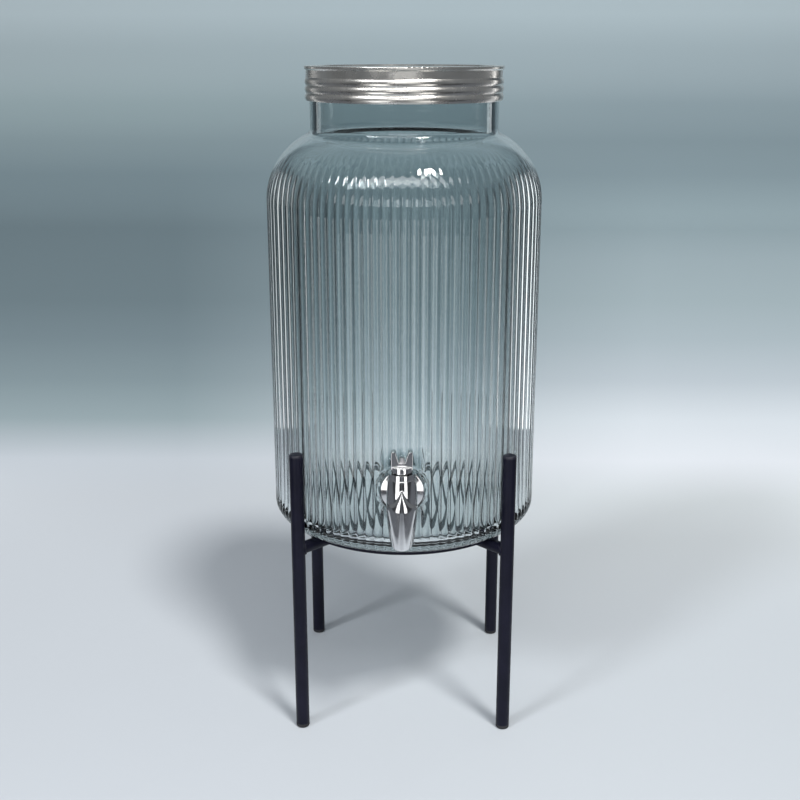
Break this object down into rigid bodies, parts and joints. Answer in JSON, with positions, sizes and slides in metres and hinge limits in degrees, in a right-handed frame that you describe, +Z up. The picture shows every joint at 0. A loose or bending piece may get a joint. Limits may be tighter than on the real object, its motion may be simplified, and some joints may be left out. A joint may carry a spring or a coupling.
{
  "type": "detergent dispenser bottle",
  "caption": "Ribbed glass jar with a screw lid and a quarter-turn tap, standing in a black post stand, for storing and dosing liquid detergent.",
  "frame": {"origin": "on the floor, on the upright axis shared by the jar and the stand", "axes": "+Z up, the tap points along -Y, +X to the right of someone facing the tap"},
  "size_m": [0.2, 0.2295, 0.484],
  "materials": {
    "ribbed_glass": "clear pressed soda-lime glass, ribbed outside and smooth inside",
    "lid_metal": "rolled tin-plated steel, bright, with rolled beads",
    "chrome": "polished chrome plating",
    "steel": "bright stainless screw",
    "black_paint": "near-black powder coat, satin",
    "black_cap": "moulded black plastic, satin",
    "black_rubber": "matt black rubber",
    "seal_rubber": "translucent white silicone",
    "nut_plastic": "moulded white plastic",
    "valve_plastic": "moulded grey plastic",
    "lid_liner": "white foamed liner"
  },
  "bodies": {
    "stand": {"post_front_left": "black_paint", "post_front_right": "black_paint", "post_back_left": "black_paint", "post_back_right": "black_paint", "post_cap_front_left": "black_cap", "post_cap_front_right": "black_cap", "post_cap_back_left": "black_cap", "post_cap_back_right": "black_cap", "post_foot_front_left": "black_rubber", "post_foot_front_right": "black_rubber", "post_foot_back_left": "black_rubber", "post_foot_back_right": "black_rubber", "crossbar_long": "black_paint", "crossbar_half_front": "black_paint", "crossbar_half_back": "black_paint", "support_ring": "black_paint"},
    "jar": {"glass_jar_base": "ribbed_glass", "glass_jar_wall": "ribbed_glass", "glass_jar_shoulder": "ribbed_glass", "glass_jar_neck": "ribbed_glass", "tap_body": "chrome", "tap_bonnet_ring": "chrome", "tap_gasket_front": "seal_rubber", "tap_gasket_rear": "seal_rubber", "tap_nut": "nut_plastic"},
    "tap_valve": {"tap_plug": "valve_plastic", "tap_handle": "chrome", "handle_screw": "steel", "tap_oring_upper": "seal_rubber", "tap_oring_lower": "seal_rubber"},
    "lid_liner": {"lid_seal": "lid_liner"},
    "lid": {"lid_shell": "lid_metal"}
  },
  "joints": [
    {"name": "jar_lift", "type": "slide", "parent": "stand", "child": "jar", "axis": [0, 0, 1], "range_m": [0, 0.09]},
    {"name": "tap_turn", "type": "hinge", "parent": "jar", "child": "tap_valve", "pos_m": [0, -0.119, 0.202], "axis": [0, 0, 1], "range_deg": [0, 90]},
    {"name": "lid_rise", "type": "slide", "parent": "jar", "child": "lid_liner", "axis": [0, 0, 1], "range_m": [0, 0.0241]},
    {"name": "lid_turn", "type": "hinge", "parent": "lid_liner", "child": "lid", "pos_m": [0, 0, 0.47], "axis": [0, 0, 1], "range_deg": [0, 1080]}
  ],
  "couplings": [
    {"joint": "lid_rise", "follows": "lid_turn", "m_per_rad": 0.0012732}
  ]
}
